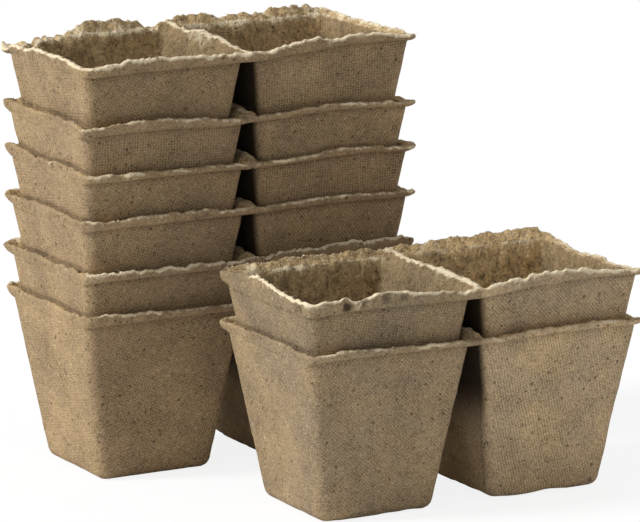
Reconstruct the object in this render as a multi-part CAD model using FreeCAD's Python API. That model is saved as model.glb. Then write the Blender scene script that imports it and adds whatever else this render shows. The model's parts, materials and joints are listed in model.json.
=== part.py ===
import FreeCAD, Part
import math
import os

# Two stacks of moulded peat pots. Each piece is a strip of two square tapered pots that one
# web joins at the rim. Lengths are in millimetres and angles in degrees. X runs along the
# strips, Z points up, and the origin lies on the table under the middle of the whole set.

Vector = FreeCAD.Vector

# One pot, measured on its outside.
pot_top_width = 57.0
pot_bottom_width = 39.6
pot_height = 55.0
pot_corner_radius = 5.0
pot_foot_radius = 3.4
floor_thickness = 2.2
inner_foot_radius = 1.6
foot_steps = 4

# Two pots side by side in a strip, with a web across the gap between their rims.
pot_gap = 3.0
pot_pitch = pot_top_width + pot_gap
web_thickness = 2.4

# The flared lip round the rim of a strip. Its back side stands up, most of all on open strips.
lip_reach = 2.7
lip_thickness = 1.5
lip_band_height = 3.8
lip_wave_height = 0.7
lip_corner_rise = 0.9
open_strip_back_rise = 3.0
nested_strip_back_rise = 0.8

# Each strip's wall, from the bottom of its stack up. Thicker pulp holds the next strip higher.
back_stack_walls = [1.87, 2.30, 2.10, 1.91, 2.82, 1.90]
front_stack_walls = [2.05, 1.90]
nesting_clearance = 0.30

# Where the front stack stands, seen from the back stack's centre: moved along the strips, and
# forward until this much room is left between the two stacks' lips.
stack_gap = 17.1
front_stack_shift_x = 36.2
front_stack_shift_y = -(pot_top_width + 2 * lip_reach + stack_gap)
front_stack_turn = -0.8

# The lip's waviness: how often each wave comes round one rim, its share of the height or of
# the reach, and the steps in phase that make every strip's rim its own.
coarse_wave_count = 5
middle_wave_count = 11
fine_wave_count = 17
coarse_wave_share = 0.45
middle_wave_share = 0.35
fine_wave_share = 0.20
reach_wave_share = 0.22
back_wave_share = 0.35
corner_width_share = 0.05
strip_phase_step = 1.7
rim_points = 72

# How far a cutting form runs past what it cuts.
cutter_overrun = 1.0


def draft_angle():
    """The lean of a pot's wall from upright, in radians."""
    return math.atan2((pot_top_width - pot_bottom_width) / 2, pot_height)


def half_width_at(height):
    """Half the outer width of a pot at a height above its underside."""
    return pot_bottom_width / 2 + height * math.tan(draft_angle())


def nest_pitch(wall):
    """How far the next strip stands up from a strip with this wall."""
    return (wall + nesting_clearance) / math.sin(draft_angle())


def rounded_square(centre_x, half_width, radius, height):
    """A closed wire of four lines and four quarter arcs at one height."""
    straight = half_width - radius
    diagonal = straight + radius * math.cos(math.pi / 4)
    middle = Vector(centre_x, 0, height)
    edges = []
    for quarter in range(4):
        turned = FreeCAD.Rotation(Vector(0, 0, 1), math.degrees(quarter * math.pi / 2))
        line_start = middle + turned.multVec(Vector(half_width, -straight, 0))
        arc_start = middle + turned.multVec(Vector(half_width, straight, 0))
        arc_middle = middle + turned.multVec(Vector(diagonal, diagonal, 0))
        arc_end = middle + turned.multVec(Vector(straight, half_width, 0))
        edges.append(Part.LineSegment(line_start, arc_start).toShape())
        edges.append(Part.Arc(arc_start, arc_middle, arc_end).toShape())
    return Part.Wire(edges)


def tapered_block(centre_x, low_height, high_height, inset, radius, foot_radius):
    """A tapered square block that follows the pot's draft, with a rounded foot."""
    draft = draft_angle()
    wall_at_low = half_width_at(low_height) - inset
    arc_centre = wall_at_low - foot_radius * (1 - math.sin(draft)) / math.cos(draft)
    sections = []
    for step in range(foot_steps + 1):
        angle = step / foot_steps * (math.pi / 2 - draft)
        height = low_height + foot_radius * (1 - math.cos(angle))
        half_width = arc_centre + foot_radius * math.sin(angle)
        corner = radius - (half_width_at(height) - inset - half_width)
        sections.append(rounded_square(centre_x, half_width, corner, height))
    top_half_width = half_width_at(high_height) - inset
    sections.append(rounded_square(centre_x, top_half_width, radius, high_height))
    return Part.makeLoft(sections, True, True)


def pot_outside(centre_x):
    """The outside form of one pot, up to the rim."""
    return tapered_block(centre_x, 0, pot_height, 0, pot_corner_radius, pot_foot_radius)


def pot_inside(centre_x, wall):
    """The hollow of one pot, carried on past the rim's highest point."""
    inset = wall / math.cos(draft_angle())
    top = pot_height + open_strip_back_rise + lip_wave_height + cutter_overrun
    radius = pot_corner_radius - wall
    return tapered_block(centre_x, floor_thickness, top, inset, radius, inner_foot_radius)


def rim_places():
    """Evenly spaced places round a strip's rim: point, outward way, and share of the round.

    The round starts in the middle of a side, clear of the corners where faces meet.
    """
    half_x = (pot_pitch + pot_top_width) / 2 - pot_corner_radius
    half_y = pot_top_width / 2 - pot_corner_radius
    quarter_arc = pot_corner_radius * math.pi / 2
    runs = [2 * half_y, quarter_arc, 2 * half_x, quarter_arc] * 2
    places = []
    for step in range(rim_points):
        share = step / rim_points
        along = (share * sum(runs) + half_y) % sum(runs)
        run = 0
        while along > runs[run]:
            along -= runs[run]
            run += 1
        side = run // 2
        on_corner = run % 2 == 1
        way = side * math.pi / 2
        if on_corner:
            way += along / pot_corner_radius
        corner_x = half_x if side in (0, 3) else -half_x
        corner_y = half_y if side in (0, 1) else -half_y
        base = Vector(corner_x, corner_y, 0)
        if not on_corner:
            ahead = Vector(-math.sin(way), math.cos(way), 0)
            base = base + ahead * (along - runs[run])
        outward = Vector(math.cos(way), math.sin(way), 0)
        places.append((base + outward * pot_corner_radius, outward, share))
    return places


def waviness(share, phase):
    """A smooth irregular wave round the rim, between minus one and one."""
    turn = 2 * math.pi * share
    coarse = coarse_wave_share * math.sin(coarse_wave_count * turn + phase)
    middle = middle_wave_share * math.sin(middle_wave_count * turn + phase * phase)
    fine = fine_wave_share * math.sin(fine_wave_count * turn - phase)
    return coarse + middle + fine


def closeness_to_corner(point):
    """One at the rim's four corners, falling smoothly to nothing beside them."""
    reach = corner_width_share * (pot_pitch + pot_top_width)
    away_x = (pot_pitch + pot_top_width) / 2 - abs(point.x)
    away_y = pot_top_width / 2 - abs(point.y)
    return math.exp(-(away_x + away_y) / reach)


def lip_rise(place, phase, back_rise):
    """How far the lip's outer edge stands above the nominal rim."""
    point, outward, share = place
    rise = lip_wave_height * waviness(share, phase)
    rise += lip_corner_rise * closeness_to_corner(point)
    facing_back = max(outward.y, 0)
    rise += back_rise * facing_back * (1 + back_wave_share * waviness(share, -phase))
    return rise


def lip_section(place, phase, wall, back_rise):
    """The five corners of the lip where it is cut through at one place, going round."""
    point, outward, share = place
    root_inset = lip_band_height * math.tan(draft_angle()) + wall / 2
    inner_inset = root_inset + wall / 2 + cutter_overrun
    reach = lip_reach * (1 + reach_wave_share * waviness(share, -phase))
    edge_height = pot_height + lip_rise(place, phase, back_rise)
    inner_height = pot_height + lip_wave_height * waviness(share, phase)
    band_foot = Vector(0, 0, pot_height - lip_band_height)
    return [
        point - outward * root_inset + band_foot,
        point + outward * reach + Vector(0, 0, edge_height - lip_thickness),
        point + outward * reach + Vector(0, 0, edge_height),
        point - outward * inner_inset + Vector(0, 0, inner_height),
        point - outward * inner_inset + band_foot,
    ]


def flared_lip(phase, wall, back_rise):
    """The wavy lip as a closed ring, reaching inward past the wall it sits on."""
    sections = [lip_section(place, phase, wall, back_rise) for place in rim_places()]
    faces = []
    for index, section in enumerate(sections):
        next_section = sections[(index + 1) % len(sections)]
        for corner in range(len(section)):
            next_corner = (corner + 1) % len(section)
            near_line = Part.makeLine(section[corner], section[next_corner])
            far_line = Part.makeLine(next_section[corner], next_section[next_corner])
            faces.append(Part.makeRuledSurface(near_line, far_line))
    shell = Part.makeShell(faces)
    shell.sewShape()
    ring = Part.Solid(shell)
    if ring.Volume < 0:
        ring.reverse()
    return ring


def web(wall):
    """The bar of pulp that joins two pots at the rim."""
    half_length = pot_gap / 2 + wall
    half_depth = pot_top_width / 2 - wall
    corner = Vector(-half_length, -half_depth, pot_height - web_thickness)
    return Part.makeBox(2 * half_length, 2 * half_depth, web_thickness, corner)


def pot_strip(wall, phase, back_rise):
    """One strip of two pots, standing on its own underside with its middle over the origin."""
    centres = [-pot_pitch / 2, pot_pitch / 2]
    outsides = [pot_outside(centre) for centre in centres]
    insides = [pot_inside(centre, wall) for centre in centres]
    body = flared_lip(phase, wall, back_rise).fuse(outsides + [web(wall)])
    return body.cut(insides)


def stack(name, walls, first_phase):
    """A stack of nested strips, as pairs of node name and solid."""
    strips = []
    height = 0
    for index, wall in enumerate(walls):
        is_open = index == len(walls) - 1
        back_rise = open_strip_back_rise if is_open else nested_strip_back_rise
        strip = pot_strip(wall, first_phase + index * strip_phase_step, back_rise)
        strip.translate(Vector(0, 0, height))
        strips.append((name + "_strip_" + str(index + 1), strip))
        height += nest_pitch(wall)
    return strips


def half_extents(turn):
    """Half the length and depth of the box round a strip's nominal lip, turned about Z."""
    half_x = (pot_pitch + pot_top_width) / 2 + lip_reach
    half_y = pot_top_width / 2 + lip_reach
    cosine = abs(math.cos(math.radians(turn)))
    sine = abs(math.sin(math.radians(turn)))
    return half_x * cosine + half_y * sine, half_x * sine + half_y * cosine


def set_middle():
    """The point on the table under the middle of the box round both stacks."""
    back_x, back_y = half_extents(0)
    front_x, front_y = half_extents(front_stack_turn)
    low_x = min(-back_x, front_stack_shift_x - front_x)
    high_x = max(back_x, front_stack_shift_x + front_x)
    low_y = min(-back_y, front_stack_shift_y - front_y)
    high_y = max(back_y, front_stack_shift_y + front_y)
    return Vector((low_x + high_x) / 2, (low_y + high_y) / 2, 0)


def pot_set():
    """Both stacks in their places, about the set's own origin."""
    back = stack("back_stack", back_stack_walls, strip_phase_step)
    front = stack("front_stack", front_stack_walls, -strip_phase_step)
    for node, strip in front:
        strip.rotate(Vector(0, 0, 0), Vector(0, 0, 1), front_stack_turn)
        strip.translate(Vector(front_stack_shift_x, front_stack_shift_y, 0))
    for node, strip in back + front:
        strip.translate(set_middle() * -1)
    return back + front


os.makedirs("parts", exist_ok=True)
for node, strip in pot_set():
    strip.exportStep("parts/" + node + ".step")
    print(node, "solids", len(strip.Solids), "valid", strip.isValid(), "volume", strip.Volume)
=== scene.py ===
import json
import logging
import math
from dataclasses import dataclass, field
from enum import Enum, auto
from typing import TypeVar

import bpy
import numpy as np
from mathutils import Matrix, Vector


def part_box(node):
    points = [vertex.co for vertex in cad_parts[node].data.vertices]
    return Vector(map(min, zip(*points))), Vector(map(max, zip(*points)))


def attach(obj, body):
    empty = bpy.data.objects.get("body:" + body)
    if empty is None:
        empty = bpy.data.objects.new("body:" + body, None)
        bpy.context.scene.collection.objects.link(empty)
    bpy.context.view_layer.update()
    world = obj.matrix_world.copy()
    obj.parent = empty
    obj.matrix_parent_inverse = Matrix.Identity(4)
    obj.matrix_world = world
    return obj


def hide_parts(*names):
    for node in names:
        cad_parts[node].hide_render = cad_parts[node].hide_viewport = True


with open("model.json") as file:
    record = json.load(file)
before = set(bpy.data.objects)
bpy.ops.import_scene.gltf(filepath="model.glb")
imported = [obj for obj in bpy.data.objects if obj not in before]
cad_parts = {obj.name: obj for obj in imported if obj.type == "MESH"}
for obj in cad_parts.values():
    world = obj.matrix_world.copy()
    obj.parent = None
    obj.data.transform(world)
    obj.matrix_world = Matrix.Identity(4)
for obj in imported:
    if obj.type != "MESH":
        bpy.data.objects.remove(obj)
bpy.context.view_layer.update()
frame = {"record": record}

MM = 0.001
LOG = logging.getLogger("peat_pots")
NUMBER = "NodeSocketFloat"
PLACE = "NodeSocketVector"

Profile = tuple[tuple[float, float], ...]
Colour = tuple[float, float, float, float]
Socket = bpy.types.NodeSocket
Choice = TypeVar("Choice")


class Side(Enum):
    """The four sides of one pot, counted on from the side that faces the viewer."""

    FRONT = 0
    END = 1
    BACK = 2
    DIVIDER = 3


class Half(Enum):
    """The two pots of a strip, and which way along X each one lies."""

    LEFT = -1
    RIGHT = 1


def smooth_step(low: float, high: float, value: np.ndarray) -> np.ndarray:
    """Nothing below low, one above high, and a smooth climb between them."""
    share = np.clip((value - low) / (high - low), 0.0, 1.0)
    return share * share * (3.0 - 2.0 * share)


def along_profile(profile: Profile, places: np.ndarray) -> np.ndarray:
    """The height of a profile at each place along it."""
    known, heights = np.array(profile).T
    return np.interp(places, known, heights)


@dataclass(frozen=True)
class PotSizes:
    """One pot and the strip that holds two of them, in millimetres."""

    top_width: float = 57.0
    bottom_width: float = 39.6
    height: float = 55.0
    corner_radius: float = 3.7
    foot_radius: float = 3.4
    floor_thickness: float = 2.2
    inner_foot_radius: float = 1.6
    pot_gap: float = 3.0
    web_thickness: float = 2.4
    open_wall: float = 1.9
    nesting_clearance: float = 0.3
    parting_drop: float = 3.8
    underside_lean: float = 0.3
    side_room: float = 2.7
    end_room: float = 2.9
    top_room: float = 4.15
    lip_tip: float = 1.0
    crest_inset: float = 0.85
    inner_edge_drop: float = 1.0
    divider_edge_drop: float = 1.9
    slit_arch: float = 3.1
    lip_limit: float = 2.55
    least_lip: float = 1.7
    least_slope: float = 0.35
    least_band: float = 0.8
    least_tip: float = 0.5
    most_tip: float = 1.4
    least_corner: float = 0.6
    ear_lift: float = 1.7
    edge_rounding: float = 0.12
    face_inset: float = 0.12
    wall_top_inset: float = 0.05

    @property
    def pitch(self) -> float:
        """From the middle of one pot to the middle of its neighbour."""
        return self.top_width + self.pot_gap

    @property
    def draft(self) -> float:
        """The lean of the walls from upright, in radians."""
        return math.atan2((self.top_width - self.bottom_width) / 2, self.height)

    def half_width(self, height: np.ndarray | float) -> np.ndarray | float:
        """Half the outer width of a pot at a height above its underside."""
        return self.bottom_width / 2 + height * math.tan(self.draft)

    def wall_under(self, rise: float) -> float:
        """The wall of a strip that holds the next one up by this rise."""
        return rise * math.sin(self.draft) - self.nesting_clearance


@dataclass(frozen=True)
class PulpNoise:
    """Smooth seeded noise in space, the same on every run."""

    seed: int

    def _corner(self, x: np.ndarray, y: np.ndarray, z: np.ndarray) -> np.ndarray:
        """A fixed random number, from minus one to one, for each corner of a lattice."""
        mixed = (x * 73856093) ^ (y * 19349663) ^ (z * 83492791) ^ (self.seed * 2654435)
        mixed = mixed.astype(np.uint64) & np.uint64(0xFFFFFFFF)
        mixed = (mixed ^ (mixed >> np.uint64(15))) * np.uint64(2246822519) & np.uint64(0xFFFFFFFF)
        mixed = (mixed ^ (mixed >> np.uint64(13))) * np.uint64(3266489917) & np.uint64(0xFFFFFFFF)
        mixed = mixed ^ (mixed >> np.uint64(16))
        return mixed.astype(np.float64) / 2147483647.5 - 1.0

    def at(self, points: np.ndarray, size: float) -> np.ndarray:
        """Noise whose bumps are about this size.

        Args:
            points: places in millimetres, the last axis holding X, Y and Z.
            size: how far apart its bumps lie, in millimetres.

        Returns:
            One value from minus one to one for each point.
        """
        scaled = points / size + 0.37 * self.seed
        cell = np.floor(scaled).astype(np.int64)
        part = scaled - cell
        part = part * part * part * (part * (part * 6.0 - 15.0) + 10.0)
        total = np.zeros(points.shape[:-1])
        for corner in range(8):
            step = ((corner >> 0) & 1, (corner >> 1) & 1, (corner >> 2) & 1)
            weight = np.ones_like(total)
            for axis in range(3):
                weight = weight * (part[..., axis] if step[axis] else 1.0 - part[..., axis])
            lattice = [cell[..., axis] + step[axis] for axis in range(3)]
            total += weight * self._corner(*lattice)
        return total

    def layered(self, points: np.ndarray, size: float, layers: int = 3) -> np.ndarray:
        """Several sizes of noise on one another, each half as large and half as high."""
        total = np.zeros(points.shape[:-1])
        for layer in range(layers):
            total += self.at(points + 11.7 * layer, size / 2**layer) / 2**layer
        return total


@dataclass(frozen=True)
class RimStory:
    """How one strip's torn crest runs, side by side, in millimetres.

    Each profile holds places along its side, from the strip's middle, and the crest's rise
    above the nominal rim there. The parting profile lifts the mould line along the front.
    The last four values are shares: how ragged the crest is, how ragged it is at the back,
    and how far the pulp is torn open at an open strip's back and at a nested strip's front.
    """

    front: Profile = (
        (-61, 0.4), (-45, 1.1), (-25, 0.3), (-4, -0.4), (4, -0.4), (22, 0.7), (42, 0.9), (61, -0.2),
    )
    left: Profile = ((-31, 0.4), (-12, 0.9), (12, 0.5), (31, 0.6))
    right: Profile = ((-31, -0.5), (-24, -0.9), (-10, -0.4), (14, 0.3), (31, 0.8))
    back: Profile = ((-61, 0.7), (-35, 1.4), (-10, 0.6), (12, 0.9), (38, 1.5), (61, 0.6))
    divider: Profile = ((-31, 0.2), (-20, 1.0), (0, 0.7), (20, 0.9), (31, 0.5))
    parting: Profile = ((-61, 1.4), (-30, 1.5), (0, 1.4), (30, 2.2), (61, 1.4))
    roughness: float = 0.8
    back_roughness: float = 0.8
    back_torn: float = 1.0
    nested_torn: float = 0.7


@dataclass(frozen=True)
class RimMark:
    """One knob, dent or fold near the rim of a strip, in millimetres.

    The mark stands round one place: X and Y from the strip's middle, Z from the nominal rim.
    Dark and calm are shares, dark being painted shade in a dent. Calm at one leaves the pulp
    untorn, and below nothing tears it more.
    """

    x: float
    y: float
    z: float
    spread: float
    outward: float = 0.0
    upward: float = 0.0
    dark: float = 0.0
    calm: float = 0.0


@dataclass(frozen=True)
class LipReach:
    """How far the lip leans out past the rim on each side, and the ears at its corners.

    A step is how far the mould line under the lip stands out from the wall on that side.
    """

    front: float = 1.65
    left: float = 0.3
    right: float = 1.4
    back: float = 2.1
    front_left_ear: float = 0.5
    front_right_ear: float = 1.4
    back_left_ear: float = 2.4
    back_right_ear: float = 0.8
    ear_rise: float = 0.3
    ear_spread: float = 3.2
    front_step: float = 1.0
    left_step: float = 0.05
    right_step: float = 0.6
    back_step: float = 0.4


@dataclass(frozen=True)
class StripPlan:
    """What sets one strip apart from the others: its rim, its shade and its forming mesh.

    The tone runs from warm at nothing to grey at one. Painted light brightens or darkens the left
    and the right pot, and a strip's two ends, by the factors that follow the angles. The angles
    turn the mesh on the left and the right pot, in radians.
    """

    story: RimStory
    tone: float
    mesh_angles: tuple[float, float]
    painted_light_gains: tuple[float, float] = (1.0, 1.06)
    end_painted_light_gain: float = 1.0
    reach: LipReach = LipReach()
    marks: tuple[RimMark, ...] = ()


@dataclass(frozen=True)
class RoundOfPlaces:
    """Evenly numbered places round one pot, the same on each of its loops."""

    side_steps: int
    corner_steps: int

    def tables(self) -> dict[str, np.ndarray]:
        """Where each place lies on a rounded square.

        Returns:
            Arrays over the places: the square's inner point and the outward way as shares,
            the side, whether it is on a corner, and its share of the side or corner.
        """
        rows = []
        for side in Side:
            way = 1.5 * math.pi + side.value * math.pi / 2
            normal = np.array([math.cos(way), math.sin(way)])
            ahead = np.array([-normal[1], normal[0]])
            for step in range(self.corner_steps):
                share = step / self.corner_steps
                turn = way - math.pi / 2 * (1.0 - share)
                rows.append((*(normal - ahead), math.cos(turn), math.sin(turn), side.value, 1, share))
            for step in range(self.side_steps):
                share = -1.0 + 2.0 * step / self.side_steps
                rows.append((*(normal + ahead * share), *normal, side.value, 0, share))
        rows = np.roll(np.array(rows), self.side_steps // 2, axis=0)
        return {
            "inner": rows[:, 0:2],
            "outward": rows[:, 2:4],
            "side": rows[:, 4].astype(int),
            "on_corner": rows[:, 5] > 0.5,
            "share": rows[:, 6],
        }


class Loop(Enum):
    """What a loop round a pot belongs to, from the middle of the hollow to the underside."""

    INNER_FLOOR = auto()
    INNER_WALL = auto()
    INNER_EDGE = auto()
    SLOPE = auto()
    BROW = auto()
    CREST = auto()
    TIP = auto()
    LIP_FACE = auto()
    BAND = auto()
    PARTING = auto()
    WALL = auto()
    FOOT = auto()
    UNDERSIDE = auto()


@dataclass(frozen=True)
class Bumps:
    """Noise of one height and one size of bump, in millimetres."""

    height: float
    size: float
    layers: int = 1
    shift: float = 0.0

    def on(self, noise: PulpNoise, points: np.ndarray) -> np.ndarray:
        """The height of the bumps at each point."""
        return self.height * noise.layered(points + self.shift, self.size, self.layers)


@dataclass(frozen=True)
class LoopLook:
    """How loops of one kind look: torn pulp, the forming mesh and the bumps outwards.

    An open strip's back has a share of torn pulp of its own.
    """

    torn: float = 0.0
    open_back_torn: float = 0.0
    mesh: float = 0.0
    bumps: tuple[Bumps, ...] = ()


HOLLOW = (Loop.INNER_FLOOR, Loop.INNER_WALL, Loop.INNER_EDGE)
INNER_RIM = (Loop.INNER_EDGE, Loop.SLOPE, Loop.BROW)
LIP = (Loop.CREST, Loop.TIP, Loop.LIP_FACE, Loop.BAND, Loop.PARTING)
OUTER_WALL = (Loop.WALL, Loop.FOOT)

INNER_RIM_BUMPS = (Bumps(0.3, 2.4, 2),)
CREST_BUMPS = (Bumps(0.2, 1.6, 2),)
WALL_BUMPS = (Bumps(0.07, 3.2, 2),)
BROAD_WALL_BUMPS = (Bumps(0.26, 15.0), Bumps(0.08, 5.0))
LOOKS = {
    Loop.INNER_FLOOR: LoopLook(),
    Loop.INNER_WALL: LoopLook(bumps=(Bumps(0.5, 5.0, 3), Bumps(0.28, 1.5, shift=40.0))),
    Loop.INNER_EDGE: LoopLook(0.45, 0.74, bumps=INNER_RIM_BUMPS),
    Loop.SLOPE: LoopLook(0.6, 0.44, bumps=INNER_RIM_BUMPS),
    Loop.BROW: LoopLook(0.85, 0.4, bumps=INNER_RIM_BUMPS),
    Loop.CREST: LoopLook(1.0, 0.46, bumps=CREST_BUMPS),
    Loop.TIP: LoopLook(1.0, 0.4, bumps=CREST_BUMPS),
    Loop.LIP_FACE: LoopLook(0.6, 0.3, bumps=CREST_BUMPS),
    Loop.BAND: LoopLook(0.34, 0.2, mesh=0.15, bumps=(Bumps(0.2, 3.0, 2), Bumps(0.16, 1.1))),
    Loop.PARTING: LoopLook(mesh=0.35, bumps=(Bumps(0.2, 3.5), Bumps(0.1, 1.3))),
    Loop.WALL: LoopLook(mesh=1.0, bumps=WALL_BUMPS),
    Loop.FOOT: LoopLook(mesh=0.8, bumps=WALL_BUMPS),
    Loop.UNDERSIDE: LoopLook(mesh=0.9),
}

# The loops between the inner edge and the crest: how far over each lies, and how far it has
# climbed on a free side and on the divider.
SLOPE_STEPS = ((Loop.SLOPE, 0.28, 0.2, 0.5), (Loop.SLOPE, 0.55, 0.5, 0.82), (Loop.BROW, 0.8, 0.85, 0.97))
# The loops of the band under the lip: how far down each lies, and how far in where it bulges.
BAND_STEPS = ((0.36, 0.1), (0.7, 0.3), (0.92, 0.62))


@dataclass(frozen=True)
class PaintedShade:
    """How dark painted shade makes the pulp, as shares, and how far it reaches.

    It lies in the hollow, on the divider's slope, in the slit between the pots, under the lip and
    at the seat, where the crest of the strip below stands against a strip's wall. There a painted
    contact shadow runs in a band from just above that line down, and a broader painted shade lies
    on both sides of it, in millimetres.
    """

    floor: float = 0.2
    inner_wall: float = 0.43
    divider_slope: float = 0.42
    slit: float = 0.93
    under_lip: float = 0.3
    under_left_lip: float = 0.0
    under_right_lip: float = 0.2
    under_back_lip: float = 0.2
    under_lip_band: float = 1.1
    seat: float = 0.17
    left_seat: float = 0.42
    right_seat: float = 0.24
    seat_line: float = 0.2
    seat_above: float = 0.55
    seat_below: float = 1.5
    front_seat_shade: float = 0.12
    back_seat_shade: float = 0.06
    seat_shade_band: float = 8.0


PAINTED_SHADE = PaintedShade()


@dataclass(frozen=True)
class RoundedFoot:
    """The turn from a floor up into a drafted wall, in millimetres."""

    low: float
    inset: float
    corner: float
    radius: float
    steps: int = 4

    def flat_half(self, sizes: PotSizes) -> float:
        """Half the width of the flat floor that the foot leaves."""
        turn = self.radius * (1 - math.sin(sizes.draft)) / math.cos(sizes.draft)
        return sizes.half_width(self.low) - self.inset - turn


@dataclass
class PotHalf:
    """One pot of a strip with its half of the lip and web, as loops round the pot."""

    strip: "PotStrip"
    half: Half
    places: RoundOfPlaces
    loops: list[np.ndarray] = field(default_factory=list)
    kinds: list[Loop] = field(default_factory=list)

    def __post_init__(self) -> None:
        """Works out the tables that every loop uses."""
        self.sizes = self.strip.sizes
        self.plan = self.strip.plan
        self.is_open = self.strip.is_open
        self.noise = PulpNoise(self.strip.seed)
        self.inset = self.strip.wall / math.cos(self.sizes.draft)
        self.inner_corner = self.sizes.corner_radius - self.strip.wall
        table = self.places.tables()
        self.inner = table["inner"]
        self.outward = table["outward"]
        self.side = table["side"]
        self.on_corner = table["on_corner"]
        self.share = table["share"]
        plane_share = 0.5
        first_corner = self.on_corner & (self.side == Side.FRONT.value)
        last_corner = self.on_corner & (self.side == Side.DIVIDER.value)
        from_plane = np.where(first_corner, self.share, np.where(last_corner, 1.0 - self.share, 1.0))
        on_divider = (self.side == Side.DIVIDER.value) & ~self.on_corner
        self.from_plane = np.where(on_divider, 0.0, from_plane)
        self.in_plane = self.from_plane <= plane_share + 1e-6
        self.at_column = np.abs(self.from_plane - plane_share) < 1e-6
        self.divider_weight = 1.0 - smooth_step(0.25, 0.95, self.from_plane)

    def pick(self, left: Choice, right: Choice) -> Choice:
        """The one of two values that belongs to this pot."""
        return left if self.half is Half.LEFT else right

    def bumps(self, points: np.ndarray, *layers: Bumps) -> np.ndarray:
        """Several sorts of bumps on one another, at each point."""
        return sum((layer.on(self.noise, points) for layer in layers), np.zeros(len(points)))

    def contour(self, half_width: np.ndarray | float, radius: np.ndarray | float) -> np.ndarray:
        """A rounded square round the pot's middle, one XY point for each place."""
        straight = np.broadcast_to(np.asarray(half_width - radius, float), self.share.shape)
        bend = np.broadcast_to(np.asarray(radius, float), self.share.shape)
        return straight[:, None] * self.inner + bend[:, None] * self.outward

    def lip_outline(self, reach: np.ndarray) -> np.ndarray:
        """The lip's outline: round at the free corners, cut square at the strip's middle."""
        sizes = self.sizes
        rim_half = sizes.top_width / 2
        straight = rim_half - sizes.corner_radius
        plane = -sizes.pitch / 2
        points = self.contour(rim_half + reach, sizes.corner_radius + reach)
        past = np.clip((self.from_plane - 0.5) / 0.5, 0.0, 1.0)
        before = np.clip(self.from_plane / 0.5, 0.0, 1.0)
        near = self.from_plane < 1.0
        on_divider = self.from_plane <= 0.0
        corner_x = plane + past * (-straight - plane)
        corner_y = np.sign(self.inner[:, 1]) * (straight + before * (rim_half + reach - straight))
        points[:, 0] = np.where(near, corner_x, points[:, 0])
        points[:, 1] = np.where(near & ~on_divider, corner_y, points[:, 1])
        points[:, 1] = np.where(on_divider, straight * self.inner[:, 1], points[:, 1])
        return points

    def in_strip(self, xy: np.ndarray, height: np.ndarray | float = 0.0) -> np.ndarray:
        """Pot points as points from the strip's middle, at a height."""
        x = self.half.value * (xy[:, 0] + self.sizes.pitch / 2)
        return np.column_stack([x, xy[:, 1], np.broadcast_to(height, x.shape)])

    def side_blend(
        self, front: np.ndarray | float, end: np.ndarray | float, back: np.ndarray | float
    ) -> np.ndarray:
        """One value per side, running smoothly into the next one round the corners."""
        share = np.where(self.on_corner, self.share, 1.0)
        end_corner = self.on_corner & (self.side == Side.END.value)
        back_corner = self.on_corner & (self.side == Side.BACK.value)
        value = np.where(self.side == Side.FRONT.value, front, back)
        value = np.where(self.side == Side.END.value, end, value)
        value = np.where(end_corner, front + (end - front) * share, value)
        return np.where(back_corner, end + (back - end) * share, value)

    def near_corner(self, at_back: bool) -> np.ndarray:
        """One at the middle of a free corner and falling off to both sides."""
        outline = self.lip_outline(np.zeros_like(self.share))
        rim_half = self.sizes.top_width / 2
        corner = np.array([rim_half, rim_half if at_back else -rim_half])
        away = np.linalg.norm(outline - corner, axis=1)
        return np.exp(-((away / self.plan.reach.ear_spread) ** 2))

    def lip_reach(self) -> np.ndarray:
        """How far the lip leans out at each place."""
        reach = self.plan.reach
        value = self.side_blend(reach.front, self.pick(reach.left, reach.right), reach.back)
        front_ear = self.pick(reach.front_left_ear, reach.front_right_ear)
        back_ear = self.pick(reach.back_left_ear, reach.back_right_ear)
        value = value + front_ear * self.near_corner(False) + back_ear * self.near_corner(True)
        spots = self.in_strip(self.lip_outline(value))
        uneven = self.bumps(spots, Bumps(0.28, 6.0), Bumps(0.14, 1.7, shift=50.0))
        return np.minimum(value * (1.0 + uneven * (1.0 - self.at_column)), self.sizes.lip_limit)

    def parting_reach(self) -> np.ndarray:
        """How far the mould line under the lip stands out from the wall's line at the rim."""
        reach = self.plan.reach
        end = self.pick(reach.left_step, reach.right_step)
        step = self.side_blend(reach.front_step, end, reach.back_step)
        return step - self.sizes.parting_drop * math.tan(self.sizes.draft)

    def crest_rise(self, spots: np.ndarray) -> np.ndarray:
        """How far the torn crest stands above the nominal rim at each place."""
        story = self.plan.story
        x, y = spots[:, 0], spots[:, 1]
        end = along_profile(self.pick(story.left, story.right), y)
        rise = self.side_blend(along_profile(story.front, x), end, along_profile(story.back, x))
        ears = self.near_corner(False) + self.near_corner(True)
        rise = rise + self.plan.reach.ear_rise * ears
        torn = self.bumps(spots, Bumps(1.0, 2.6), Bumps(0.7, 1.1, shift=30.0))
        broad = self.bumps(spots, Bumps(1.0, 5.5, shift=15.0))
        torn = torn + self.side_blend(0.2 * broad, 0.3 * broad, 1.2 * broad)
        chips = smooth_step(0.35, 0.75, self.bumps(spots, Bumps(1.0, 3.4, shift=70.0)))
        rough = self.side_blend(0.42, 0.4, 0.62 * story.back_roughness)
        rise = rise + story.roughness * rough * (torn - 1.1 * chips)
        at_lip = np.where(y < 0, along_profile(story.front, 0.0), along_profile(story.back, 0.0))
        ridge = along_profile(story.divider, y) + 0.3 * story.roughness * torn
        ridge = ridge + (at_lip - ridge) * smooth_step(25.0, 30.0, np.abs(y))
        return np.where(self.in_plane, ridge, rise)

    def add(self, kind: Loop, xy: np.ndarray, height: np.ndarray | float) -> None:
        """Adds one loop round the pot: its kind, its XY points and its height."""
        z = np.broadcast_to(np.asarray(height, float), self.share.shape)
        self.loops.append(np.column_stack([xy, z]))
        self.kinds.append(kind)

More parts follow.
